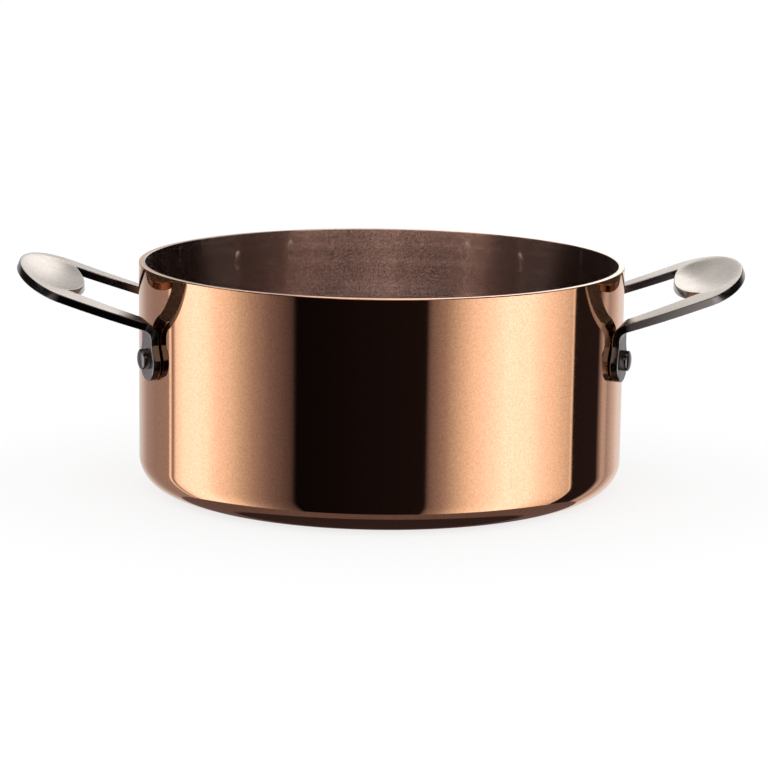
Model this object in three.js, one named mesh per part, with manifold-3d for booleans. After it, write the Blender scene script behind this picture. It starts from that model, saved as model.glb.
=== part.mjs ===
// Copper casserole pan with a bonded steel lining and two riveted plate handles.
// Millimetres, +Z up, origin at the centre of the underside, handles along X.

import * as THREE from 'three';
import { mergeVertices } from 'three/addons/utils/BufferGeometryUtils.js';
import Module from 'manifold-3d';

const wasm = await Module();
wasm.setup();

const { degToRad, lerp, smoothstep } = THREE.MathUtils;

// Pan body
const OUTER_RADIUS = 120;
const PAN_HEIGHT = 111;
const BASE_CORNER = 14.5;
const COPPER_THICKNESS = 2.4;
const LINING_THICKNESS = 0.6;
const BOND_LINE = 0.05;
const RIM_ROUND = 0.8;
const LINING_RIM_ROUND = 0.2;
const BODY_SIDES = 72;
const CORNER_STEPS = 3;

// Handle plate: height and slope are those of its upper face at the wall, on the middle line
const PLATE_THICKNESS = 4;
const PLATE_HEIGHT_AT_WALL = 91;
const PLATE_SLOPE_AT_WALL = degToRad(17.8);
const PLATE_BOW_RADIUS = 770;
const PLATE_CROWN_RADIUS = 1700;
const TIP_X = 178;
const LOBE_X = 155;
const LOBE_HALF_WIDTH = 56;
const SLOT_CORNER_X = 153;
const SLOT_HALF_WIDTH = 38;
const TONGUE_X = 147;

// Thumb dish pressed into the plate
const DISH_X = 160.5;
const DISH_HALF_LENGTH = 15.5;
const DISH_HALF_WIDTH = 42;
const DISH_DEPTH = 4;

// Legs folded down against the wall
const LEG_ANGLE = degToRad(22.5);
const LEG_HALF_WIDTH = 6.2;
const LEG_WALL_GAP = 0.3;
const FOLD_OUTER_RADIUS = 8.6;
const FOOT_RADIUS = 9.2;
const FOOT_DROP = 1.5;
const FLARE_RISE = 8.8;

// Rivets
const RIVET_HEIGHT = 70;
const SHANK_RADIUS = 3;
const HOLE_CLEARANCE = 0.3;
const OUTER_HEAD_RADIUS = 5;
const OUTER_HEAD_RIM = 2.6;
const OUTER_HEAD_DOME = 1.3;
const INNER_HEAD_RADIUS = 5.75;
const INNER_HEAD_DOME = 1.5;
const HEAD_GAP = 0.3;
const RIVET_SIDES = 20;
const HOLE_SIDES = 12;
const RIVET_DOME_STEPS = 2;

// Facets of the handle sheet
const ACROSS_STEPS = 7;
const DISH_STEPS = 7;
const DISH_TURN = degToRad(58);
const LOBE_STEPS = 2;
const LOBE_SHARE = 0.25;
const RAIL_STEPS = 3;
const FOLD_STEPS = 5;
const FLARE_STEPS = 3;
const FOOT_STEPS = 3;
const FOOT_END_ANGLE = degToRad(72);

const MERGE_DISTANCE = 1e-4;
const QUARTER_TURN = Math.PI / 2;

const liningRadius = OUTER_RADIUS - COPPER_THICKNESS - BOND_LINE;
const innerRadius = liningRadius - LINING_THICKNESS;
const legOuterFace = OUTER_RADIUS + LEG_WALL_GAP + PLATE_THICKNESS;

const copper = new THREE.MeshStandardMaterial({ color: 0xc27c50, roughness: 0.12, metalness: 1 });
const liningSteel = new THREE.MeshStandardMaterial({ color: 0xb9aea6, roughness: 0.18, metalness: 1 });
const handleSteel = new THREE.MeshStandardMaterial({ color: 0xc8c4bd, roughness: 0.35, metalness: 1 });
const rivetSteel = new THREE.MeshStandardMaterial({ color: 0x8d8883, roughness: 0.3, metalness: 1 });

// Closed solid of a geometry, with shared corners merged and collapsed triangles dropped
function toSolid(geometry) {
  geometry.deleteAttribute('normal');
  geometry.deleteAttribute('uv');
  const merged = mergeVertices(geometry, MERGE_DISTANCE);
  const corners = merged.index.array;
  const kept = [];
  for (let i = 0; i < corners.length; i += 3) {
    const [a, b, c] = corners.slice(i, i + 3);
    if (a !== b && b !== c && c !== a) kept.push(a, b, c);
  }
  return new wasm.Manifold(new wasm.Mesh({
    numProp: 3,
    vertProperties: merged.attributes.position.array,
    triVerts: new Uint32Array(kept),
  }));
}

function toGeometry(solid) {
  const mesh = solid.getMesh();
  const geometry = new THREE.BufferGeometry();
  geometry.setAttribute('position', new THREE.BufferAttribute(mesh.vertProperties, 3));
  geometry.setIndex(new THREE.BufferAttribute(mesh.triVerts, 1));
  geometry.computeVertexNormals();
  return geometry;
}

// Drill for one rivet hole, along the radius at the given angle about Z
function rivetDrill(angle) {
  const length = OUTER_RADIUS;
  const radius = SHANK_RADIUS + HOLE_CLEARANCE;
  const drill = new THREE.CylinderGeometry(radius, radius, length, HOLE_SIDES);
  drill.rotateY(Math.PI / HOLE_SIDES);
  drill.rotateZ(QUARTER_TURN);
  drill.translate(OUTER_RADIUS, 0, RIVET_HEIGHT);
  drill.rotateZ(angle);
  return toSolid(drill);
}

// Round layer of the body: an open pot of the given outer radius and thickness
function potLayer(radius, corner, floor, thickness, rimRound) {
  const inside = radius - thickness;
  const insideCorner = corner - thickness;
  const profile = new THREE.Path();
  profile.moveTo(0, floor);
  profile.lineTo(radius - corner, floor);
  profile.absarc(radius - corner, floor + corner, corner, -QUARTER_TURN, 0, false);
  profile.absarc(radius - rimRound, PAN_HEIGHT - rimRound, rimRound, 0, QUARTER_TURN, false);
  profile.lineTo(inside, PAN_HEIGHT);
  profile.absarc(inside - insideCorner, floor + corner, insideCorner, 0, -QUARTER_TURN, true);
  profile.lineTo(0, floor + thickness);
  const pot = new THREE.LatheGeometry(profile.getPoints(CORNER_STEPS), BODY_SIDES);
  pot.rotateX(QUARTER_TURN);
  let solid = toSolid(pot);
  for (const side of [0, Math.PI]) {
    solid = solid.subtract(rivetDrill(side - LEG_ANGLE));
    solid = solid.subtract(rivetDrill(side + LEG_ANGLE));
  }
  return toGeometry(solid);
}

// Rise of the plate along the handle, per millimetre, at a distance from the pan's middle
function plateRise(x) {
  return Math.tan(PLATE_SLOPE_AT_WALL) + (x - OUTER_RADIUS) / PLATE_BOW_RADIUS;
}

// Height of the plate's upper face: it bows up to the tip, falls to the sides and holds the dish
function plateHeight(x, y) {
  const run = x - OUTER_RADIUS;
  const bow = PLATE_HEIGHT_AT_WALL + run * Math.tan(PLATE_SLOPE_AT_WALL) + run * run / (2 * PLATE_BOW_RADIUS);
  const crown = y * y / (2 * PLATE_CROWN_RADIUS);
  const reach = ((x - DISH_X) / DISH_HALF_LENGTH) ** 2 + (y / DISH_HALF_WIDTH) ** 2;
  return bow - crown - DISH_DEPTH * Math.max(0, 1 - reach);
}

const radial = new THREE.Vector3(Math.cos(LEG_ANGLE), Math.sin(LEG_ANGLE), 0);
const sideways = new THREE.Vector3(-Math.sin(LEG_ANGLE), Math.cos(LEG_ANGLE), 0);
const upward = new THREE.Vector3(0, 0, 1);

// Point at a distance from the pan's axis, offset along the wall, in one leg's own plane
function legPoint(distance, offset, height) {
  return new THREE.Vector3()
    .addScaledVector(radial, distance)
    .addScaledVector(sideways, offset)
    .addScaledVector(upward, height);
}

const foldAxisDistance = OUTER_RADIUS + LEG_WALL_GAP + FOLD_OUTER_RADIUS;
const legMiddle = legPoint(foldAxisDistance, 0, 0);
const railSlope = Math.atan(
  plateRise(legMiddle.x) * Math.cos(LEG_ANGLE) - legMiddle.y / PLATE_CROWN_RADIUS * Math.sin(LEG_ANGLE));
const foldEndDistance = foldAxisDistance - FOLD_OUTER_RADIUS * Math.sin(railSlope);

// Upper face of the fold at an angle from the wall side, and the direction that it faces
function foldFace(angle, offset) {
  const end = legPoint(foldEndDistance, offset, 0);
  const axisHeight = plateHeight(end.x, end.y) - FOLD_OUTER_RADIUS * Math.cos(railSlope);
  const normal = legPoint(-Math.cos(angle), 0, Math.sin(angle));
  const point = legPoint(foldAxisDistance, offset, axisHeight);
  return { point: point.addScaledVector(normal, FOLD_OUTER_RADIUS), normal };
}

// One row across the plate, from the slot's edge to the outer edge
function plateRow(inner, outer) {
  return (across) => {
    const { x, y } = inner.clone().lerp(outer, across);
    const normal = new THREE.Vector3(-plateRise(x), 0, 1).normalize();
    return { point: new THREE.Vector3(x, y, plateHeight(x, y)), normal };
  };
}

function legRow(height, halfWidth) {
  return (across) => ({
    point: legPoint(OUTER_RADIUS + LEG_WALL_GAP, lerp(-halfWidth, halfWidth, across), height),
    normal: radial.clone().negate(),
  });
}

// Outer edge of the handle's round end, at an angle from the tip
function lobeEdge(turn) {
  return new THREE.Vector2(LOBE_X + (TIP_X - LOBE_X) * Math.cos(turn), LOBE_HALF_WIDTH * Math.sin(turn));
}

// Rows of one half of the handle, from the middle of the dish round to the foot
function halfHandleRows() {
  const rows = [];
  for (let i = 0; i <= DISH_STEPS; i++) {
    const q = i / DISH_STEPS;
    const inner = new THREE.Vector2(lerp(TONGUE_X, SLOT_CORNER_X, q * q), SLOT_HALF_WIDTH * q);
    rows.push(plateRow(inner, lobeEdge(DISH_TURN * q)));
  }
  const slotCorner = new THREE.Vector2(SLOT_CORNER_X, SLOT_HALF_WIDTH);
  const railInner = legPoint(foldEndDistance, -LEG_HALF_WIDTH, 0);
  const railOuter = legPoint(foldEndDistance, LEG_HALF_WIDTH, 0);
  for (let i = 1; i <= LOBE_STEPS; i++) {
    const q = i / LOBE_STEPS;
    const inner = slotCorner.clone().lerp(railInner, LOBE_SHARE * q);
    rows.push(plateRow(inner, lobeEdge(lerp(DISH_TURN, QUARTER_TURN, q))));
  }
  for (let i = 1; i < RAIL_STEPS; i++) {
    const q = i / RAIL_STEPS;
    const inner = slotCorner.clone().lerp(railInner, lerp(LOBE_SHARE, 1, q));
    const outer = new THREE.Vector2(
      lerp(LOBE_X, railOuter.x, q), lerp(LOBE_HALF_WIDTH, railOuter.y, q * q));
    rows.push(plateRow(inner, outer));
  }
  for (let i = 0; i <= FOLD_STEPS; i++) {
    const angle = lerp(QUARTER_TURN - railSlope, 0, i / FOLD_STEPS);
    rows.push((across) => foldFace(angle, lerp(-LEG_HALF_WIDTH, LEG_HALF_WIDTH, across)));
  }
  const footHeight = RIVET_HEIGHT - FOOT_DROP;
  for (let i = 0; i <= FLARE_STEPS; i++) {
    const q = i / FLARE_STEPS;
    const widening = smoothstep(q, 0, 1);
    rows.push(legRow(
      lerp(RIVET_HEIGHT + FLARE_RISE, footHeight, q),
      lerp(LEG_HALF_WIDTH, FOOT_RADIUS, widening)));
  }
  for (let i = 1; i <= FOOT_STEPS; i++) {
    const turn = FOOT_END_ANGLE * i / FOOT_STEPS;
    rows.push(legRow(footHeight - FOOT_RADIUS * Math.sin(turn), FOOT_RADIUS * Math.cos(turn)));
  }
  return rows;
}

// A bar of plate bent into the whole handle, foot to foot, with its two rivet holes
function handleGeometry() {
  const rows = halfHandleRows();
  const middle = rows.length - 1;
  const bar = new THREE.BoxGeometry(1, 1, 1, 2 * middle, ACROSS_STEPS, 1);
  const corner = new THREE.Vector3();
  const { position } = bar.attributes;
  for (let i = 0; i < position.count; i++) {
    corner.fromBufferAttribute(position, i);
    const station = Math.round((corner.x + 0.5) * 2 * middle) - middle;
    const { point, normal } = rows[Math.abs(station)](0.5 - corner.y);
    const place = point.clone().addScaledVector(normal, (corner.z - 0.5) * PLATE_THICKNESS);
    if (station < 0) place.y = -place.y;
    position.setXYZ(i, place.x, place.y, place.z);
  }
  return toGeometry(toSolid(bar).subtract(rivetDrill(-LEG_ANGLE)).subtract(rivetDrill(LEG_ANGLE)));
}

// Rivet along +X, with its low inner head inside the lining and its outer head on the leg
function rivetGeometry() {
  const innerSeat = Math.sqrt(innerRadius ** 2 - INNER_HEAD_RADIUS ** 2) - HEAD_GAP;
  const outerSeat = legOuterFace + HEAD_GAP;
  const outerRim = outerSeat + OUTER_HEAD_RIM;
  const profile = new THREE.Path();
  profile.absellipse(0, innerSeat, INNER_HEAD_RADIUS, INNER_HEAD_DOME, -QUARTER_TURN, 0, false);
  profile.lineTo(SHANK_RADIUS, innerSeat);
  profile.lineTo(SHANK_RADIUS, outerSeat);
  profile.lineTo(OUTER_HEAD_RADIUS, outerSeat);
  profile.absellipse(0, outerRim, OUTER_HEAD_RADIUS, OUTER_HEAD_DOME, 0, QUARTER_TURN, false);
  const points = profile.getPoints(RIVET_DOME_STEPS);
  points[0].x = 0;
  points[points.length - 1].x = 0;
  const rivet = new THREE.LatheGeometry(points, RIVET_SIDES);
  rivet.rotateZ(-QUARTER_TURN);
  return rivet;
}

function namedMesh(name, geometry, material) {
  const mesh = new THREE.Mesh(geometry, material);
  mesh.name = name;
  return mesh;
}

const casserole = new THREE.Group();
casserole.name = 'casserole_pan';

casserole.add(namedMesh('copper_shell',
  potLayer(OUTER_RADIUS, BASE_CORNER, 0, COPPER_THICKNESS, RIM_ROUND), copper));

const liningFloor = COPPER_THICKNESS + BOND_LINE;
const liningCorner = BASE_CORNER - liningFloor;
casserole.add(namedMesh('steel_lining',
  potLayer(liningRadius, liningCorner, liningFloor, LINING_THICKNESS, LINING_RIM_ROUND), liningSteel));

for (const [side, turn] of [['right', 0], ['left', Math.PI]]) {
  const assembly = new THREE.Group();
  assembly.rotation.z = turn;
  assembly.add(namedMesh(`handle_${side}`, handleGeometry(), handleSteel));
  for (const angle of [-LEG_ANGLE, LEG_ANGLE]) {
    const seat = new THREE.Group();
    seat.rotation.z = angle;
    const facesFront = Math.sin(turn + angle) < 0;
    const rivet = namedMesh(`rivet_${side}_${facesFront ? 'front' : 'back'}`, rivetGeometry(), rivetSteel);
    rivet.position.z = RIVET_HEIGHT;
    seat.add(rivet);
    assembly.add(seat);
  }
  casserole.add(assembly);
}

export default casserole;
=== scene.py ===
"""Looks of the copper casserole pan: spun body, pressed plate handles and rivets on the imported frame."""

import math

import bmesh
import bpy
from bpy.props import FloatProperty, FloatVectorProperty, IntProperty, PointerProperty
from mathutils import Matrix, Vector


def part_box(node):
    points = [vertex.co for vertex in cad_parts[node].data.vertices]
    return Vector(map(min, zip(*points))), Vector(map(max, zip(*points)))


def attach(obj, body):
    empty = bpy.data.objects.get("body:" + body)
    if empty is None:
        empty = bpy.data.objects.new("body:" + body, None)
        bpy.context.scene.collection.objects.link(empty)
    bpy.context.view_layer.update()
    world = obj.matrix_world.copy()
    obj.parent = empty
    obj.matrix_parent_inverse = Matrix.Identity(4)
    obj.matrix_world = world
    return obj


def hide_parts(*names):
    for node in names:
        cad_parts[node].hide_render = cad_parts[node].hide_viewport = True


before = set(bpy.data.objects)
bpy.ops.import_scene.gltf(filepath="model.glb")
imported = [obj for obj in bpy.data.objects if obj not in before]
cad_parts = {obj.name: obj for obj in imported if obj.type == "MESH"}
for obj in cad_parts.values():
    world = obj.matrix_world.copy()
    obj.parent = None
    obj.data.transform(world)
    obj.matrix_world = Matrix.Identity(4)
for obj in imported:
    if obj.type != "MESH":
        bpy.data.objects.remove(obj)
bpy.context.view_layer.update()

bl_info = {
    "name": "Copper Casserole Pan",
    "version": (1, 0, 0),
    "blender": (4, 5, 0),
    "location": "3D View > Sidebar > Casserole",
    "description": "Builds the spun copper body, the steel lining, the plate handles and the rivets",
    "category": "Add Mesh",
}

BODY = "root"
MM = 0.001
SHELL_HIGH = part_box("copper_shell")[1]
LINING_LOW, LINING_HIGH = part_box("steel_lining")
# Points nearer than this are one point.
MERGE_DISTANCE = 0.01 * MM
# Weight of the large faces in the smooth shading.
NORMAL_WEIGHT = 80
# Edges of the handle plate that bend more than this are rounded.
SHARP_EDGE = math.radians(50)
# Faces of a leg that point towards the pan's axis at least this much are the ones at the wall.
# They take the dark edge finish: painted shade between leg and wall.
WALL_FACING = -0.5


def length(name, description, metres):
    """A size that the user can change, in metres."""
    return FloatProperty(name=name, description=description, default=metres, unit="LENGTH", precision=5)


def angle(name, description, degrees):
    """An angle that the user can change, given here in degrees."""
    return FloatProperty(name=name, description=description, default=math.radians(degrees), subtype="ANGLE")


def count(name, description, number):
    """A number of steps that the user can change."""
    return IntProperty(name=name, description=description, default=number, min=1)


def colour(name, description, rgb):
    """A linear colour that the user can change."""
    return FloatVectorProperty(name=name, description=description, default=rgb, subtype="COLOR", size=3)


class PanBodySizes(bpy.types.PropertyGroup):
    """Copper shell and its steel lining."""

    radius: length("Outer radius", "Outer radius of the copper wall", SHELL_HIGH.x)
    height: length("Height", "Height of the rim above the table", SHELL_HIGH.z)
    corner: length("Base corner", "Outer rounding between wall and base", 14.5 * MM)
    copper: length("Copper", "Thickness of the copper", 2.4 * MM)
    lining_radius: length("Lining radius", "Outer radius of the steel lining", LINING_HIGH.x)
    lining_floor: length("Lining floor", "Height of the lining's underside", LINING_LOW.z)
    lining: length("Lining", "Thickness of the steel lining", 0.6 * MM)
    rim_round: length("Rim rounding", "Rounding of the rim's outer edge", 0.5 * MM)
    lining_round: length("Lining rounding", "Rounding of the lining's inner edge", 0.25 * MM)
    arris: length("Arris", "Rounding of the edge between copper and lining", 0.12 * MM)
    support: length("Support ring", "Distance of a supporting ring from a rounding", 1.2 * MM)
    turn_steps: count("Turn steps", "Steps of the spin around the pan", 256)
    corner_steps: count("Corner steps", "Steps of the base corner", 20)
    rim_steps: count("Rim steps", "Steps of a rim rounding", 6)


class HandleSizes(bpy.types.PropertyGroup):
    """One handle: a bent plate with a slot for the fingers, a pressed thumb dish and two legs."""

    thickness: length("Plate", "Thickness of the plate", 4 * MM)
    wall_height: length("Height at wall", "Height of the upper face at the wall", 91 * MM)
    wall_slope: angle("Slope at wall", "Slope of the plate at the wall", 17.8)
    bow: length("Bow radius", "Radius of the bow along the handle", 770 * MM)
    crown: length("Crown radius", "Radius of the crown across the handle", 1700 * MM)
    tip: length("Tip", "Distance of the tip from the pan's axis", 178 * MM)
    lobe: length("Lobe", "Distance of the widest place from the pan's axis", 155 * MM)
    lobe_half: length("Lobe half width", "Half of the handle's greatest width", 56 * MM)
    slot_corner: length("Slot corner", "Distance of the slot's outer corners from the pan's axis", 153 * MM)
    slot_half: length("Slot half width", "Half of the slot's width", 38 * MM)
    tongue: length("Tongue", "Distance of the dish's inner edge from the pan's axis", 147 * MM)
    dish: length("Dish", "Distance of the dish's middle from the pan's axis", 160.5 * MM)
    dish_half_length: length("Dish half length", "Half of the dish's length along the handle", 15.5 * MM)
    dish_half_width: length("Dish half width", "Half of the dish's width", 42 * MM)
    dish_depth: length("Dish depth", "Depth of the dish", 4 * MM)
    dish_lip: FloatProperty(
        name="Dish lip", description="Softness of the dish's edge", default=0.08, min=0)
    leg_angle: angle("Leg angle", "Angle of each leg from the handle's middle line", 22.5)
    leg_half: length("Leg half width", "Half of the leg's width", 6.2 * MM)
    leg_gap: length("Leg gap", "Gap between leg and wall", 0.3 * MM)
    fold: length("Fold radius", "Outer radius of the fold above each leg", 8.6 * MM)
    foot: length("Foot radius", "Radius of the round foot", 9.2 * MM)
    foot_drop: length("Foot drop", "Drop of the foot's middle below the rivet", 1.5 * MM)
    flare: length("Flare rise", "Height above the rivet where the leg starts to widen", 8.8 * MM)
    edge: length("Edge rounding", "Rounding of the plate's cut edges", 0.45 * MM)
    dish_turn: angle("Dish turn", "Angle from the tip that the dish's rows reach", 58)
    lobe_share: FloatProperty(
        name="Lobe share", description="Share of the slot's edge beside the lobe", default=0.25,
        min=0, max=1)
    dish_rows: count("Dish rows", "Rows round half of the dish", 36)
    lobe_rows: count("Lobe rows", "Rows round the lobe beside the slot's corner", 14)
    rail_rows: count("Rail rows", "Rows along a rail", 14)
    fold_rows: count("Fold rows", "Rows round a fold", 14)
    leg_rows: count("Leg rows", "Rows down a leg", 12)
    foot_rows: count("Foot rows", "Rows round a foot", 8)
    across: count("Across", "Columns across the plate", 16)
    edge_steps: count("Edge steps", "Steps of the edge rounding", 3)


class RivetSizes(bpy.types.PropertyGroup):
    """One rivet: a button head on the leg and a low head inside the lining."""

    height: length("Height", "Height of the rivets above the table", 70 * MM)
    shank: length("Shank radius", "Radius of the shank", 3 * MM)
    head: length("Head radius", "Radius of the outer head", 5 * MM)
    head_rim: length("Head rim", "Height of the outer head's straight side", 2.6 * MM)
    head_dome: length("Head dome", "Rise of the outer head's domed end", 1.3 * MM)
    inner_head: length("Inner head radius", "Radius of the low inner head", 5.75 * MM)
    inner_dome: length("Inner dome", "Rise of the low inner head", 1.5 * MM)
    turn_steps: count("Turn steps", "Steps of the spin round the rivet", 48)
    dome_steps: count("Dome steps", "Steps of each dome", 8)


class PanFinishes(bpy.types.PropertyGroup):
    """Colours of the metals, some of them darkened or lightened as painted shade and light."""

    copper: colour("Copper", "Polished copper", (0.95, 0.48, 0.265))
    lining: colour("Lining", "Steel of the lining", (0.33, 0.263, 0.24))
    satin: colour("Satin steel", "Blasted faces of the handles", (0.60, 0.53, 0.465))
    # Darker than the satin steel: painted shade on the handles' undersides and the legs' outer faces.
    rolled: colour("Rolled steel", "Underside of the handles", (0.37, 0.335, 0.31))
    # Darkened as painted shade on the cut edges and on the legs' faces at the wall.
    polished: colour("Polished steel", "Polished edges of the handles", (0.19, 0.165, 0.15))
    # Darkened as painted shade on the outer heads.
    rivet: colour("Rivet steel", "Turned steel of the rivets", (0.20, 0.18, 0.17))
    # Lighter than the outer heads: painted light on the heads inside.
    inner: colour("Inner rivet steel", "Bright heads inside the lining", (0.72, 0.66, 0.62))


class StageSettings(bpy.types.PropertyGroup):
    """Camera, floor and light."""

    camera_place: FloatVectorProperty(
        name="Camera place", description="Place of the camera", default=(-0.0708, -1.4383, 0.3224),
        subtype="XYZ", unit="LENGTH", size=3)
    camera_heading: angle("Camera heading", "Turn of the view to the right of +Y", 2.889)
    camera_pitch: angle("Camera pitch", "Tilt of the view below the horizon", 10.749)
    camera_roll: angle("Camera roll", "Roll of the camera", 0.72)
    focal_length: FloatProperty(name="Focal length", description="Lens, in millimetres", default=137.69)
    floor_half: length("Floor", "Half of the floor's width", 15.0)
    bowl: length("Bowl radius", "Radius of the reflector bowl around the pan", 0.36)
    bowl_top: length("Bowl top", "Height of the bowl's edge above the table", 0.11)
    collar: length("Collar radius", "Radius of the paper collar above the rim", 0.106)
    collar_gap: length("Collar gap", "Gap between the rim and the collar", 0.045)
    collar_depth: length("Collar depth", "Height of the paper collar", 0.12)
    dome: length("Dome radius", "Radius of the light dome above the pan", 4.0)


# Brightness of the reflector bowl by degrees about the pan, 0 at the front and + to the right.
# Two wide soft panels with dark flags between them, and a dim paper behind. A ramp holds 32 stops at most,
# so the bands go on in a second one behind the seam.
BOWL_BANDS = (
    (-180, 0.80), (-160, 0.62), (-148, 0.38), (-136, 0.31), (-123, 0.34), (-120.8, 0.36), (-120, 1.05),
    (-118.8, 1.05), (-118, 0.30), (-116.6, 0.30), (-114.4, 1.10), (-108, 1.50), (-98, 1.62), (-91, 1.50),
    (-84, 1.14), (-77, 0.92), (-70, 0.60), (-63, 0.37), (-55, 0.20), (-44, 0.075), (-42, 0.004),
    (18, 0.010), (20, 0.17), (27, 0.35), (33, 0.65), (39, 0.97), (47, 1.27), (58, 1.65), (70, 1.58),
    (79, 1.22), (90, 0.90), (98, 0.66),
)
BOWL_SEAM = 97.5
BOWL_BANDS_BACK = (
    (97, 0.68), (98, 0.95), (98.8, 0.80), (99.6, 0.016), (121, 0.018), (124, 0.25), (127, 0.50), (130, 0.52),
    (133, 0.36), (139, 0.52), (150, 0.80), (180, 0.80),
)
# Heights on the bowl, in metres, where the panels give way to a paper ring and the ring to the dark,
# and the brightness of both. The dark is painted shadow: the floor in the pan's shadow.
PAPER_EDGE = (-0.195, -0.190)
PAPER_LIGHT = 0.13
PAN_SHADOW_EDGE = (-0.285, -0.275)
PAN_SHADOW_LIGHT = 0.03
# Dim panels turn a little redder and bright ones a little cooler, by tints of red, green and blue.
DIM_BELOW = 0.6
DIM_TINT = (0, -0.16, 0.05)
COOL_ABOVE = 0.9
COOL_SPAN = 0.75
COOL_TINT = (0, 0.02, 0.18)
# Brightness of the light dome by degrees above the horizon: the pale wall behind the pan, the dark room
# around it, and the pale windows in the room, which the handles mirror towards the sides and the back.
# The lamp is overhead in all three, and it reaches lower behind the pan.
WALL_BANDS = (
    (-90, 0.9), (0, 1.20), (7, 1.50), (13, 1.65), (20, 2.40), (25, 1.90), (31, 0.20), (38, 0.03), (50, 0.03),
    (58, 1.50), (90, 1.65),
)
ROOM_BANDS = ((-90, 0.02), (66, 0.02), (72, 1.65), (90, 1.65))
WINDOW_BANDS = (
    (-90, 0.02), (13, 0.02), (15, 0.7), (37, 0.7), (39, 0.02), (66, 0.02), (72, 1.65), (90, 1.65),
)
# Share of the pale wall and of the windows by degrees about the pan. The wall is brighter to the right.
WALL_SPAN = (
    (-180, 0.42), (-176, 0.38), (-166, 0.34), (-154, 0), (154, 0), (166, 0.9), (170, 1.0), (174, 0.95),
    (176.5, 0.60), (178, 0.43), (180, 0.40),
)
WINDOW_SPAN = (
    (-180, 0), (-104, 0), (-100, 1), (-80, 1), (-76, 0), (-26, 0), (-22, 1), (22, 1), (26, 0), (76, 0),
    (80, 1), (100, 1), (104, 0), (180, 0),
)
# Brightness of the collar's brown inside by degrees about the pan, its tint, and its pale outside.
COLLAR_BANDS = (
    (-180, 3.8), (-164, 4.4), (-152, 0.95), (-123, 0.60), (-98, 0.46), (-90, 4.7), (-16, 4.7), (0, 3.9),
    (12, 3.7), (28, 4.4), (40, 4.8), (71, 4.7), (72, 0.05), (80, 0.05), (81, 0.30), (106, 0.38), (125, 0.44),
    (152, 0.80), (164, 4.4), (180, 3.8),
)
COLLAR_TINT = (1, 0.70, 0.59)
COLLAR_OUTSIDE = (0.8, 0.8, 0.8)
# Steps of the reflectors, around and from top to bottom.
BOWL_STEPS = (192, 96)
COLLAR_STEPS = 128
DOME_STEPS = (64, 32)
# Floor paper: its grey under light, and the part of its brightness that is its own.
FLOOR_GREY = (0.24, 0.24, 0.24)
FLOOR_GLOW = 0.78
FLOOR_ROUGHNESS = 0.9
WHITE = (1, 1, 1)
# Bounces that the mirror images inside the pan need.
LIGHT_BOUNCES = 16
MIRROR_BOUNCES = 14
# Width of the camera's sensor, in millimetres.
SENSOR_WIDTH = 36

# Range that most of a noise texture's values keep to.
NOISE_RANGE = (0.3, 0.7)


def settings():
    """The property groups of this pan."""
    return bpy.context.scene.casserole


def metal(name, rgb, roughness):
    """A material of bare metal, with its node tree and shader."""
    material = bpy.data.materials.new(name)
    material.use_nodes = True
    material.diffuse_color = (*rgb, 1)
    tree = material.node_tree
    shader = tree.nodes["Principled BSDF"]
    shader.inputs["Base Color"].default_value = (*rgb, 1)
    shader.inputs["Metallic"].default_value = 1
    shader.inputs["Roughness"].default_value = roughness
    return material, tree, shader


def noise(tree, stretch, detail=2.0):
    """Noise on the piece's own coordinates, with grains per metre given along each axis."""
    place = tree.nodes.new("ShaderNodeTexCoord")
    mapping = tree.nodes.new("ShaderNodeMapping")
    mapping.inputs["Scale"].default_value = stretch
    texture = tree.nodes.new("ShaderNodeTexNoise")
    texture.inputs["Scale"].default_value = 1
    texture.inputs["Detail"].default_value = detail
    tree.links.new(place.outputs["Object"], mapping.inputs["Vector"])
    tree.links.new(mapping.outputs["Vector"], texture.inputs["Vector"])
    return texture.outputs["Fac"]


def even_noise(tree, per_metre, detail=2.0):
    """Noise with the same grains per metre in every direction."""
    return noise(tree, (per_metre, per_metre, per_metre), detail)


def mapped(tree, value, source, target):
    """A value mapped from one range, as (low, high), onto another."""
    mapping = tree.nodes.new("ShaderNodeMapRange")
    for name, number in zip(("From Min", "From Max", "To Min", "To Max"), (*source, *target)):
        mapping.inputs[name].default_value = number
    tree.links.new(value, mapping.inputs["Value"])
    return mapping.outputs["Result"]


def spread(tree, value, low, high):
    """A noise value, which keeps near one half, spread over a range."""
    return mapped(tree, value, NOISE_RANGE, (low, high))


def combined(tree, operation, *values):
    """The result of a sum or another operation on values, each of them a socket or a number."""
    combining = tree.nodes.new("ShaderNodeMath")
    combining.operation = operation
    for socket, value in zip(combining.inputs, values):
        if isinstance(value, bpy.types.NodeSocket):
            tree.links.new(value, socket)
        else:
            socket.default_value = value
    return combining.outputs["Value"]


def blended(tree, share, first, second):
    """A colour between two, each of them a socket or a colour."""
    mixing = tree.nodes.new("ShaderNodeMix")
    mixing.data_type = "RGBA"
    tree.links.new(share, mixing.inputs["Factor"])
    for name, value in (("A", first), ("B", second)):
        if isinstance(value, bpy.types.NodeSocket):
            tree.links.new(value, mixing.inputs[name])
        else:
            mixing.inputs[name].default_value = (*value, 1)
    return mixing.outputs["Result"]


def own_axes(tree):
    """The X, Y and Z sockets of the piece's own coordinates."""
    place = tree.nodes.new("ShaderNodeTexCoord")
    axes = tree.nodes.new("ShaderNodeSeparateXYZ")
    tree.links.new(place.outputs["Object"], axes.inputs["Vector"])
    return axes.outputs


def ramp(tree, value, stops):
    """A colour for each value, from stops as (value, colour)."""
    low, high = stops[0][0], stops[-1][0]
    filling = tree.nodes.new("ShaderNodeValToRGB")
    elements = filling.color_ramp.elements
    elements.remove(elements[-1])
    for place, rgb in stops:
        stop = elements[0] if place == low else elements.new((place - low) / (high - low))
        stop.color = (*rgb, 1)
    tree.links.new(mapped(tree, value, (low, high), (0, 1)), filling.inputs["Fac"])
    return filling.outputs["Color"]


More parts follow.
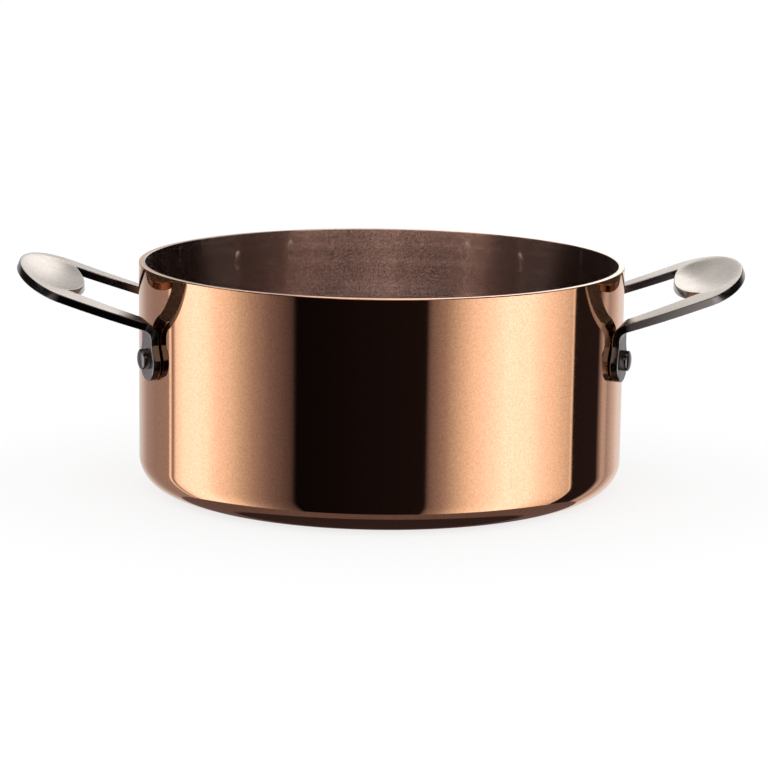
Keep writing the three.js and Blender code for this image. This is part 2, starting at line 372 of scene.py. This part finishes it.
def bump(tree, shader, value, depth):
    """Relief of the given depth, in metres, from a value between 0 and 1."""
    relief = tree.nodes.new("ShaderNodeBump")
    relief.inputs["Distance"].default_value = depth
    tree.links.new(value, relief.inputs["Height"])
    tree.links.new(relief.outputs["Normal"], shader.inputs["Normal"])


def shade(rgb, factor):
    """A colour made darker or lighter."""
    return tuple(min(1.0, channel * factor) for channel in rgb)


def speckle(tree, shader, grain, rgb, dark, light):
    """Colours a metal by its grain, between a darker and a lighter shade of it."""
    base = blended(tree, spread(tree, grain, 0, 1), shade(rgb, dark), shade(rgb, light))
    tree.links.new(base, shader.inputs["Base Color"])


def roughen(tree, shader, *layers):
    """Adds up the roughness of layers, each a noise with the low and high end of its range."""
    rough = None
    for grain, low, high in layers:
        layer = spread(tree, grain, low, high)
        rough = layer if rough is None else combined(tree, "ADD", rough, layer)
    tree.links.new(rough, shader.inputs["Roughness"])


def mirror_copper(finishes):
    """Mirror-polished copper with a fine grain and faint smudges from handling."""
    material, tree, shader = metal("mirror_copper", finishes.copper, roughness=0.05)
    grain = even_noise(tree, per_metre=1100)
    smudges = even_noise(tree, per_metre=28, detail=4)
    rings = noise(tree, stretch=(6, 6, 700))
    speckle(tree, shader, grain, finishes.copper, dark=0.85, light=1.12)
    roughen(tree, shader, (smudges, 0.025, 0.05), (rings, 0, 0.02))
    return material


def spun_steel(finishes):
    """Spun steel that scatters light up and down across its rings, under a smooth polished surface."""
    material, tree, shader = metal("spun_steel", finishes.lining, roughness=0.12)
    grain = even_noise(tree, per_metre=900)
    rings = noise(tree, stretch=(5, 5, 900))
    speckle(tree, shader, grain, finishes.lining, dark=0.72, light=1.25)
    roughen(tree, shader, (grain, 0.19, 0.22), (rings, 0, 0.04))
    shader.inputs["Coat Weight"].default_value = 1
    shader.inputs["Coat Roughness"].default_value = 0.04
    shader.inputs["Coat IOR"].default_value = 2.6
    shader.inputs["Anisotropic"].default_value = 1
    shader.inputs["Anisotropic Rotation"].default_value = 0.25
    rim_wise = tree.nodes.new("ShaderNodeTangent")
    rim_wise.direction_type = "RADIAL"
    rim_wise.axis = "Z"
    tree.links.new(rim_wise.outputs["Tangent"], shader.inputs["Tangent"])
    return material


def blasted_steel(finishes):
    """Bead-blasted steel: a fine even grain without direction."""
    material, tree, shader = metal("blasted_steel", finishes.satin, roughness=0.4)
    grain = even_noise(tree, per_metre=1700, detail=3)
    clouds = even_noise(tree, per_metre=90, detail=3)
    speckle(tree, shader, grain, finishes.satin, dark=0.9, light=1.08)
    roughen(tree, shader, (grain, 0.22, 0.30), (clouds, 0, 0.05))
    bump(tree, shader, grain, depth=0.03 * MM)
    return material


def rolled_shaded_steel(finishes):
    """Steel as rolled, on the underside that the blasting left out; its darker colour is painted shade."""
    material, tree, shader = metal("rolled_shaded_steel", finishes.rolled, roughness=0.3)
    grain = even_noise(tree, per_metre=1500, detail=3)
    clouds = even_noise(tree, per_metre=120, detail=3)
    speckle(tree, shader, grain, finishes.rolled, dark=0.8, light=1.2)
    roughen(tree, shader, (grain, 0.26, 0.34), (clouds, 0, 0.06))
    bump(tree, shader, grain, depth=0.03 * MM)
    return material


def ground_shaded_steel(finishes):
    """Ground and polished cut edges of the handle plate and legs at the wall, darkened with painted shade.
    """
    material, tree, shader = metal("ground_shaded_steel", finishes.polished, roughness=0.14)
    lines = noise(tree, stretch=(60, 60, 1600))
    grain = even_noise(tree, per_metre=1200)
    speckle(tree, shader, grain, finishes.polished, dark=0.88, light=1.1)
    roughen(tree, shader, (lines, 0.10, 0.16), (grain, 0, 0.04))
    return material


def turned_shaded_steel(finishes):
    """Turned steel that the hammering left a little rough, darkened with painted shade."""
    material, tree, shader = metal("turned_shaded_steel", finishes.rivet, roughness=0.1)
    grain = even_noise(tree, per_metre=900, detail=3)
    speckle(tree, shader, grain, finishes.rivet, dark=0.8, light=1.12)
    roughen(tree, shader, (grain, 0.08, 0.12))
    bump(tree, shader, grain, depth=0.02 * MM)
    return material


def lightened_steel(finishes):
    """Steel of the rivet heads inside, lightened with painted light."""
    material, tree, shader = metal("lightened_steel", finishes.inner, roughness=0.3)
    grain = even_noise(tree, per_metre=1100, detail=3)
    speckle(tree, shader, grain, finishes.inner, dark=0.85, light=1.12)
    roughen(tree, shader, (grain, 0.26, 0.34))
    return material


def arc(middle_r, middle_z, radius, start, end, steps):
    """Profile points of a rounding, from one angle to another in degrees, as (radius, height)."""
    turns = [math.radians(start + (end - start) * i / steps) for i in range(steps + 1)]
    return [(middle_r + radius * math.cos(t), middle_z + radius * math.sin(t)) for t in turns]


def spin_profile(points, steps):
    """A closed body spun about Z from a profile that starts and ends on the axis."""
    bm = bmesh.new()
    corners = [bm.verts.new((radius, 0, height)) for radius, height in points]
    edges = [bm.edges.new(pair) for pair in zip(corners, corners[1:])]
    bmesh.ops.spin(
        bm, geom=corners + edges, cent=(0, 0, 0), axis=(0, 0, 1), angle=math.tau, steps=steps,
        use_merge=True)
    bmesh.ops.remove_doubles(bm, verts=bm.verts, dist=MERGE_DISTANCE)
    bmesh.ops.recalc_face_normals(bm, faces=bm.faces)
    return bm


def make_piece(name, bm, materials, node):
    """Turns a bmesh into a smooth piece that rides on the pan and stands for a CAD node."""
    mesh = bpy.data.meshes.new(name)
    bm.to_mesh(mesh)
    bm.free()
    for material in materials:
        mesh.materials.append(material)
    mesh.polygons.foreach_set("use_smooth", [True] * len(mesh.polygons))
    piece = bpy.data.objects.new(name, mesh)
    bpy.context.scene.collection.objects.link(piece)
    weighted = piece.modifiers.new("Weighted normals", "WEIGHTED_NORMAL")
    weighted.weight = NORMAL_WEIGHT
    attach(piece, BODY)
    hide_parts(node)


def shared_material(make):
    """A finish that several pieces share, made once."""
    return bpy.data.materials.get(make.__name__) or make(settings().finishes)


class SpinCopperShell(bpy.types.Operator):
    """Spins the copper wall and base with their rounded corner and rim"""

    bl_idname = "casserole.copper_shell"
    bl_label = "Copper Shell"

    def execute(self, context):
        s = settings().body
        inside = s.radius - s.copper
        inside_corner = s.corner - s.copper
        points = [(0, 0), (s.radius - s.corner - s.support, 0)]
        points += arc(s.radius - s.corner, s.corner, s.corner, -90, 0, s.corner_steps)
        points += [(s.radius, s.corner + s.support), (s.radius, s.height - s.rim_round - s.support)]
        points += arc(s.radius - s.rim_round, s.height - s.rim_round, s.rim_round, 0, 90, s.rim_steps)
        points += arc(inside + s.arris, s.height - s.arris, s.arris, 90, 180, s.rim_steps)
        points += [(inside, s.corner + s.support)]
        points += arc(inside - inside_corner, s.corner, inside_corner, 0, -90, s.corner_steps)
        points += [(0, s.copper)]
        bm = spin_profile(points, s.turn_steps)
        finishes = [shared_material(mirror_copper)]
        make_piece("spun_copper", bm, finishes, "copper_shell")
        return {"FINISHED"}


class SpinSteelLining(bpy.types.Operator):
    """Spins the thin steel lining that shows inside and as the bright line of the rim"""

    bl_idname = "casserole.steel_lining"
    bl_label = "Steel Lining"

    def execute(self, context):
        s = settings().body
        outer_corner = s.corner - s.lining_floor
        inside = s.lining_radius - s.lining
        inside_corner = outer_corner - s.lining
        floor = s.lining_floor + s.lining
        points = [(0, s.lining_floor)]
        points += arc(s.lining_radius - outer_corner, s.corner, outer_corner, -90, 0, s.corner_steps)
        points += arc(s.lining_radius - s.arris, s.height - s.arris, s.arris, 0, 90, s.rim_steps)
        points += arc(
            inside + s.lining_round, s.height - s.lining_round, s.lining_round, 90, 180, s.rim_steps)
        points += [(inside, s.height - s.lining_round - s.support), (inside, s.corner + s.support)]
        points += arc(inside - inside_corner, s.corner, inside_corner, 0, -90, s.corner_steps)
        points += [(inside - inside_corner - s.support, floor), (0, floor)]
        bm = spin_profile(points, s.turn_steps)
        make_piece("spun_lining", bm, [shared_material(spun_steel)], "steel_lining")
        return {"FINISHED"}


class PlateForm:
    """Upper face of one handle's half, as rows from the middle of the dish round to the foot."""

    def __init__(self, handle, body, rivet):
        self.handle = handle
        self.wall = body.radius
        self.rivet_height = rivet.height
        self.radial = Vector((math.cos(handle.leg_angle), math.sin(handle.leg_angle), 0))
        self.sideways = Vector((-math.sin(handle.leg_angle), math.cos(handle.leg_angle), 0))
        self.leg_face = self.wall + handle.leg_gap
        self.fold_axis = self.leg_face + handle.fold
        middle = self.fold_axis * self.radial
        rise = self.rise(middle.x) * self.radial.x - middle.y / handle.crown * self.radial.y
        self.rail_slope = math.atan(rise)
        self.fold_end = self.fold_axis - handle.fold * math.sin(self.rail_slope)

    def rise(self, x):
        """Slope of the plate along the handle, as a rise per run."""
        return math.tan(self.handle.wall_slope) + (x - self.wall) / self.handle.bow

    def height(self, x, y):
        """Height of the upper face, with its bow, crown and dish."""
        h = self.handle
        run = x - self.wall
        bow = h.wall_height + run * math.tan(h.wall_slope) + run * run / (2 * h.bow)
        reach = 1 - ((x - h.dish) / h.dish_half_length) ** 2 - (y / h.dish_half_width) ** 2
        sunk = (reach + math.hypot(reach, h.dish_lip)) / 2
        return bow - y * y / (2 * h.crown) - h.dish_depth * sunk

    def leg_point(self, distance, offset, height):
        """A point at a distance from the pan's axis, offset along the wall."""
        return self.radial * distance + self.sideways * offset + Vector((0, 0, height))

    def plate(self, inner, outer, across):
        """A point of the plate between its slot edge and its outer edge."""
        spot = Vector(inner).lerp(Vector(outer), across)
        return Vector((spot.x, spot.y, self.height(spot.x, spot.y)))

    def lobe_edge(self, turn):
        """Outer edge of the round end, at an angle from the tip."""
        h = self.handle
        return Vector((h.lobe + (h.tip - h.lobe) * math.cos(turn), h.lobe_half * math.sin(turn)))

    def slot_edge(self, share):
        """Slot's edge along the rail, from its corner to the fold."""
        h = self.handle
        end = self.leg_point(self.fold_end, -h.leg_half, 0)
        return Vector((h.slot_corner, h.slot_half)).lerp(end.xy, share)

    def dish_row(self, q, across):
        """Round the dish, from its middle line to the slot's corner."""
        h = self.handle
        inner = (h.tongue + (h.slot_corner - h.tongue) * q * q, h.slot_half * q)
        return self.plate(inner, self.lobe_edge(h.dish_turn * q), across)

    def lobe_row(self, q, across):
        """Round the lobe beside the slot's corner."""
        h = self.handle
        turn = h.dish_turn + (math.pi / 2 - h.dish_turn) * q
        return self.plate(self.slot_edge(h.lobe_share * q), self.lobe_edge(turn), across)

    def rail_row(self, q, across):
        """Along the rail, from the lobe to the fold."""
        h = self.handle
        inner = self.slot_edge(h.lobe_share + (1 - h.lobe_share) * q)
        end = self.leg_point(self.fold_end, h.leg_half, 0)
        outer = Vector((h.lobe, h.lobe_half)).lerp(end.xy, q)
        outer.y = h.lobe_half + (end.y - h.lobe_half) * q * q
        return self.plate(inner, outer, across)

    def fold_row(self, q, across):
        """Round the fold, from the rail down to the leg."""
        h = self.handle
        turn = (math.pi / 2 - self.rail_slope) * (1 - q)
        offset = (2 * across - 1) * h.leg_half
        end = self.leg_point(self.fold_end, offset, 0)
        axis_height = self.height(end.x, end.y) - h.fold * math.cos(self.rail_slope)
        distance = self.fold_axis - h.fold * math.cos(turn)
        return self.leg_point(distance, offset, axis_height + h.fold * math.sin(turn))

    def leg_row(self, q, across):
        """Down the leg, which widens into the foot."""
        h = self.handle
        widening = q * q * (3 - 2 * q)
        half = h.leg_half + (h.foot - h.leg_half) * widening
        top = self.rivet_height + h.flare
        height = top + (self.rivet_height - h.foot_drop - top) * q
        return self.leg_point(self.leg_face, (2 * across - 1) * half, height)

    def foot_row(self, q, across):
        """Round half of the foot, as a square bent to a half disc."""
        h = self.handle
        side = 2 * across - 1
        offset = h.foot * side * math.sqrt(1 - q * q / 2)
        drop = h.foot * q * math.sqrt(1 - side * side / 2)
        return self.leg_point(self.leg_face, offset, self.rivet_height - h.foot_drop - drop)

    def stretches(self):
        """The stretches of one half, each with its number of rows."""
        h = self.handle
        return (
            (self.dish_row, h.dish_rows), (self.lobe_row, h.lobe_rows), (self.rail_row, h.rail_rows),
            (self.fold_row, h.fold_rows), (self.leg_row, h.leg_rows), (self.foot_row, h.foot_rows))

    def rows(self):
        """Every row from the dish's middle to the foot's end, as (function, share of its stretch)."""
        rows = [(self.dish_row, 0)]
        for row, steps in self.stretches():
            first = 0 if row is self.leg_row else 1
            rows += [(row, i / steps) for i in range(first, steps + 1)]
        return rows


class PressHandles(bpy.types.Operator):
    """Bends and presses both plate handles with their slots, thumb dishes and legs"""

    bl_idname = "casserole.handles"
    bl_label = "Plate Handles"

    def execute(self, context):
        pan = settings()
        # The ground and rolled finishes are darkened with painted shade.
        finishes = [shared_material(finish) for finish in (blasted_steel, ground_shaded_steel, rolled_shaded_steel)]
        for side, turn in (("right", 0), ("left", math.pi)):
            bm = self.plate(pan)
            bmesh.ops.rotate(bm, verts=bm.verts, cent=(0, 0, 0), matrix=Matrix.Rotation(turn, 3, "Z"))
            make_piece(f"plate_handle_{side}", bm, finishes, f"handle_{side}")
        return {"FINISHED"}

    def plate(self, pan):
        """The sheet from foot to foot, given its thickness and its rounded edges."""
        h = pan.handle
        form = PlateForm(h, pan.body, pan.rivet)
        rows = form.rows()
        half = len(rows) - 1
        bm = bmesh.new()
        bmesh.ops.create_grid(bm, x_segments=2 * half, y_segments=h.across, size=0.5)
        for corner in bm.verts:
            station = round((corner.co.x + 0.5) * 2 * half) - half
            row, share = rows[abs(station)]
            place = row(share, 0.5 - corner.co.y)
            if station < 0:
                place.y = -place.y
            corner.co = place
        bm.normal_update()
        sheet = bm.faces[:]
        bmesh.ops.solidify(bm, geom=sheet, thickness=h.thickness)
        bm.normal_update()
        edges = [edge for edge in bm.edges if edge.calc_face_angle(0) > SHARP_EDGE]
        upper, sharp = set(sheet), set(edges)
        for face in bm.faces:
            face.material_index = self.finish(form, face, upper, sharp)
        bmesh.ops.bevel(
            bm, geom=edges, offset=h.edge, segments=h.edge_steps, profile=0.5, affect="EDGES",
            material=-1)
        return bm

    def finish(self, form, face, upper, sharp):
        """Number of a face's finish: 0 blasted on top; 1 ground at edges and wall, 2 rolled below, darker as
        painted shade.
        """
        if sum(edge in sharp for edge in face.edges) > 1:
            return 1
        if face not in upper:
            return 2
        place = face.calc_center_median()
        facing = face.normal.xy.dot(place.xy.normalized())
        return int(place.xy.length < form.fold_axis and facing < WALL_FACING)


class SetRivets(bpy.types.Operator):
    """Sets the four rivets with their button heads outside and low heads inside"""

    bl_idname = "casserole.rivets"
    bl_label = "Rivets"

    def execute(self, context):
        pan = settings()
        # Outer heads darkened with painted shade, inner heads lightened with painted light.
        finishes = [shared_material(finish) for finish in (turned_shaded_steel, lightened_steel)]
        for side, turn in (("right", 0), ("left", math.pi)):
            for leg in (-pan.handle.leg_angle, pan.handle.leg_angle):
                place = "front" if math.sin(turn + leg) < 0 else "back"
                turned = Matrix.Rotation(turn + leg, 3, "Z")
                bm = self.rivet(pan)
                bmesh.ops.rotate(bm, verts=bm.verts, cent=(0, 0, 0), matrix=turned)
                bmesh.ops.translate(bm, verts=bm.verts, vec=(0, 0, pan.rivet.height))
                node = f"rivet_{side}_{place}"
                make_piece(f"set_{node}", bm, finishes, node)
        return {"FINISHED"}

    def rivet(self, pan):
        """One rivet along +X, with the lightened finish, painted light, on its inner head."""
        r = pan.rivet
        lining_face = pan.body.lining_radius - pan.body.lining
        inner_seat = math.sqrt(lining_face ** 2 - r.inner_head ** 2)
        outer_seat = pan.body.radius + pan.handle.leg_gap + pan.handle.thickness
        shoulder = outer_seat + r.head_rim
        bow = [math.radians(90 * i / r.dome_steps) for i in range(r.dome_steps + 1)]
        points = [(r.inner_head * math.sin(t), inner_seat - r.inner_dome * math.cos(t)) for t in bow]
        points += [(r.shank, inner_seat), (r.shank, outer_seat), (r.head, outer_seat), (r.head, shoulder)]
        points += [(r.head * math.cos(t), shoulder + r.head_dome * math.sin(t)) for t in bow[1:]]
        bm = spin_profile(points, r.turn_steps)
        for face in bm.faces:
            face.material_index = int(face.calc_center_median().z < inner_seat)
        bmesh.ops.rotate(bm, verts=bm.verts, cent=(0, 0, 0), matrix=Matrix.Rotation(math.pi / 2, 3, "Y"))
        return bm


class SetStage(bpy.types.Operator):
    """Sets the camera, the pale floor, the soft light and the reflectors that the metal mirrors"""

    bl_idname = "casserole.stage"
    bl_label = "Stage"

    def execute(self, context):
        stage = settings().stage
        self.camera(stage)
        self.floor(stage)
        self.world()
        self.bowl(stage)
        self.collar(stage)
        self.dome(stage)
        scene = context.scene
        scene.view_settings.view_transform = "Standard"
        scene.cycles.max_bounces = LIGHT_BOUNCES
        scene.cycles.glossy_bounces = MIRROR_BOUNCES
        return {"FINISHED"}

    def camera(self, stage):
        """A long lens a little above the rim, as the photograph has it."""
        data = bpy.data.cameras.new("camera")
        data.lens = stage.focal_length
        data.sensor_width = SENSOR_WIDTH
        camera = bpy.data.objects.new("camera", data)
        heading = Matrix.Rotation(-stage.camera_heading, 4, "Z")
        tilt = Matrix.Rotation(math.pi / 2 - stage.camera_pitch, 4, "X")
        roll = Matrix.Rotation(stage.camera_roll, 4, "Z")
        camera.matrix_world = Matrix.Translation(stage.camera_place) @ heading @ tilt @ roll
        bpy.context.scene.collection.objects.link(camera)
        bpy.context.scene.camera = camera

    def staged(self, name, bm, material):
        """A mesh of the stage, which isn't part of the pan."""
        mesh = bpy.data.meshes.new(name)
        bm.to_mesh(mesh)
        bm.free()
        mesh.materials.append(material)
        piece = bpy.data.objects.new(name, mesh)
        bpy.context.scene.collection.objects.link(piece)
        return piece

    def floor(self, stage):
        """White paper: part of its light is its own to the camera, so the pan's shadow stays soft."""
        material = bpy.data.materials.new("floor_paper")
        material.use_nodes = True
        tree = material.node_tree
        shader = tree.nodes["Principled BSDF"]
        shader.inputs["Base Color"].default_value = (*FLOOR_GREY, 1)
        shader.inputs["Roughness"].default_value = FLOOR_ROUGHNESS
        shader.inputs["Specular IOR Level"].default_value = 0
        shader.inputs["Emission Color"].default_value = (*WHITE, 1)
        tree.links.new(self.seen_rays(tree, FLOOR_GLOW), shader.inputs["Emission Strength"])
        bm = bmesh.new()
        bmesh.ops.create_grid(bm, x_segments=1, y_segments=1, size=stage.floor_half)
        floor = self.staged("floor", bm, material)
        floor.visible_glossy = False

    def seen_rays(self, tree, strength):
        """A strength for the camera's rays and those that metal or glass send on, and none for others."""
        path = tree.nodes.new("ShaderNodeLightPath")
        rays = path.outputs
        metal_or_glass = combined(tree, "ADD", rays["Is Glossy Ray"], rays["Is Transmission Ray"])
        seen = combined(tree, "ADD", rays["Is Camera Ray"], metal_or_glass)
        return combined(tree, "MULTIPLY", seen, strength)

    def world(self):
        """White all round to the camera and a plain soft light on the floor. The metal sees the dome."""
        world = bpy.data.worlds.new("studio")
        world.use_nodes = True
        background = world.node_tree.nodes["Background"]
        background.inputs["Color"].default_value = (*WHITE, 1)
        background.inputs["Strength"].default_value = 1
        bpy.context.scene.world = world

    def glowing(self, name):
        """A material that only glows, with its node tree and its emission."""
        material = bpy.data.materials.new(name)
        material.use_nodes = True
        tree = material.node_tree
        tree.nodes.remove(tree.nodes["Principled BSDF"])
        emission = tree.nodes.new("ShaderNodeEmission")
        tree.links.new(emission.outputs["Emission"], tree.nodes["Material Output"].inputs["Surface"])
        return material, tree, emission

    def around(self, tree):
        """Angle about the pan: 0 at the front, + to the right."""
        axes = own_axes(tree)
        return combined(tree, "ARCTAN2", axes["X"], combined(tree, "MULTIPLY", axes["Y"], -1))

    def mirrored(self, name, bm, material):
        """A reflector of the stage that only shows in the pan's metal."""
        piece = self.staged(name, bm, material)
        piece.visible_camera = False
        piece.visible_diffuse = False
        piece.visible_transmission = False
        piece.visible_shadow = False

    def bowl(self, stage):
        """Soft panels and dark flags close around the pan, with a dim paper ring and painted shadow below
        them.
        """
        material, tree, emission = self.glowing("reflector_bowl")
        around = self.around(tree)
        front = ramp(tree, around, self.panels(BOWL_BANDS, stage))
        back = ramp(tree, around, self.panels(BOWL_BANDS_BACK, stage))
        seam = self.on_bowl(BOWL_SEAM, stage)
        panels = blended(tree, combined(tree, "GREATER_THAN", around, seam), front, back)
        height = own_axes(tree)["Z"]
        paper = mapped(tree, height, PAPER_EDGE, (1, 0))
        # Painted shadow below the paper ring: the floor in the pan's shadow.
        dark = mapped(tree, height, PAN_SHADOW_EDGE, (1, 0))
        lower = blended(tree, paper, panels, self.panel_light(PAPER_LIGHT))
        lowest = blended(tree, dark, lower, self.panel_light(PAN_SHADOW_LIGHT))
        tree.links.new(lowest, emission.inputs["Color"])
        bm = bmesh.new()
        around_steps, down_steps = BOWL_STEPS
        bmesh.ops.create_uvsphere(bm, u_segments=around_steps, v_segments=down_steps, radius=stage.bowl)
        bmesh.ops.bisect_plane(
            bm, geom=bm.verts[:] + bm.edges[:] + bm.faces[:], plane_co=(0, 0, stage.bowl_top),
            plane_no=(0, 0, 1), clear_outer=True)
        self.mirrored("reflector_bowl", bm, material)

    def on_bowl(self, degrees, stage):
        """Angle on the bowl of the spot that the wall mirrors in a direction, which is given in degrees."""
        direction = math.radians(degrees)
        place = Vector(stage.camera_place)
        camera = math.atan2(place.x, -place.y)
        aside = math.sin((direction - camera) / 2) * settings().body.radius / stage.bowl
        return direction - math.asin(aside)

    def panels(self, bands, stage):
        """Stops of the panels about the pan."""
        return [(self.on_bowl(degrees, stage), self.panel_light(light)) for degrees, light in bands]

    def panel_light(self, light):
        """Colour of a panel: the dim ones a little redder, the brightest ones a little cooler."""
        dim = max(1 - light / DIM_BELOW, 0)
        cool = min(max((light - COOL_ABOVE) / COOL_SPAN, 0), 1)
        tints = zip(DIM_TINT, COOL_TINT)
        return tuple(light * (1 + dim_tint * dim + cool_tint * cool) for dim_tint, cool_tint in tints)

    def collar(self, stage):
        """Paper hung clear above the rim, brown inside for the lining and pale outside for the handles."""
        material, tree, emission = self.glowing("paper_collar")
        paper = ramp(tree, self.around(tree), self.by_degrees(COLLAR_BANDS, COLLAR_TINT))
        sides = tree.nodes.new("ShaderNodeNewGeometry")
        lit = blended(tree, sides.outputs["Backfacing"], COLLAR_OUTSIDE, paper)
        tree.links.new(lit, emission.inputs["Color"])
        bm = bmesh.new()
        bmesh.ops.create_cone(
            bm, cap_ends=False, segments=COLLAR_STEPS, radius1=stage.collar, radius2=stage.collar,
            depth=stage.collar_depth)
        foot = settings().body.height + stage.collar_gap
        bmesh.ops.translate(bm, verts=bm.verts, vec=(0, 0, foot + stage.collar_depth / 2))
        self.mirrored("paper_collar", bm, material)

    def by_degrees(self, bands, tint=WHITE):
        """Stops at angles, from bands as (degrees, brightness)."""
        return [(math.radians(degrees), [light * channel for channel in tint]) for degrees, light in bands]

    def dome(self, stage):
        """Pale wall behind the pan, a dark room with pale windows around it and a wide lamp overhead."""
        material, tree, emission = self.glowing("light_dome")
        around = self.around(tree)
        rise = combined(tree, "ARCSINE", combined(tree, "DIVIDE", own_axes(tree)["Z"], stage.dome))
        wall = ramp(tree, rise, self.by_degrees(WALL_BANDS))
        dark = ramp(tree, rise, self.by_degrees(ROOM_BANDS))
        window = ramp(tree, rise, self.by_degrees(WINDOW_BANDS))
        room = blended(tree, ramp(tree, around, self.by_degrees(WINDOW_SPAN)), dark, window)
        colours = blended(tree, ramp(tree, around, self.by_degrees(WALL_SPAN)), room, wall)
        tree.links.new(colours, emission.inputs["Color"])
        bm = bmesh.new()
        around_steps, down_steps = DOME_STEPS
        bmesh.ops.create_uvsphere(bm, u_segments=around_steps, v_segments=down_steps, radius=stage.dome)
        self.mirrored("light_dome", bm, material)


class CasseroleSettings(bpy.types.PropertyGroup):
    """Everything that the user can change on this pan."""

    body: PointerProperty(type=PanBodySizes)
    handle: PointerProperty(type=HandleSizes)
    rivet: PointerProperty(type=RivetSizes)
    finishes: PointerProperty(type=PanFinishes)
    stage: PointerProperty(type=StageSettings)


class CasserolePanel(bpy.types.Panel):
    """Lists the pan's sizes, finishes and steps"""

    bl_idname = "VIEW3D_PT_casserole"
    bl_label = "Casserole Pan"
    bl_space_type = "VIEW_3D"
    bl_region_type = "UI"
    bl_category = "Casserole"

    def draw(self, context):
        for step in STEPS:
            self.layout.operator(step.bl_idname)
        for group in ("body", "handle", "rivet", "finishes", "stage"):
            box = self.layout.box()
            holder = getattr(settings(), group)
            for name in holder.__annotations__:
                box.prop(holder, name)


STEPS = (SpinCopperShell, SpinSteelLining, PressHandles, SetRivets, SetStage)
CLASSES = (
    PanBodySizes, HandleSizes, RivetSizes, PanFinishes, StageSettings, CasseroleSettings, *STEPS,
    CasserolePanel)


def register():
    """Registers the classes and the pan's settings."""
    for cls in CLASSES:
        bpy.utils.register_class(cls)
    bpy.types.Scene.casserole = PointerProperty(type=CasseroleSettings)


def unregister():
    """Takes the settings and classes away again."""
    del bpy.types.Scene.casserole
    for cls in reversed(CLASSES):
        bpy.utils.unregister_class(cls)


def main():
    register()
    bpy.ops.casserole.copper_shell()
    bpy.ops.casserole.steel_lining()
    bpy.ops.casserole.handles()
    bpy.ops.casserole.rivets()
    bpy.ops.casserole.stage()


if __name__ == "__main__":
    main()
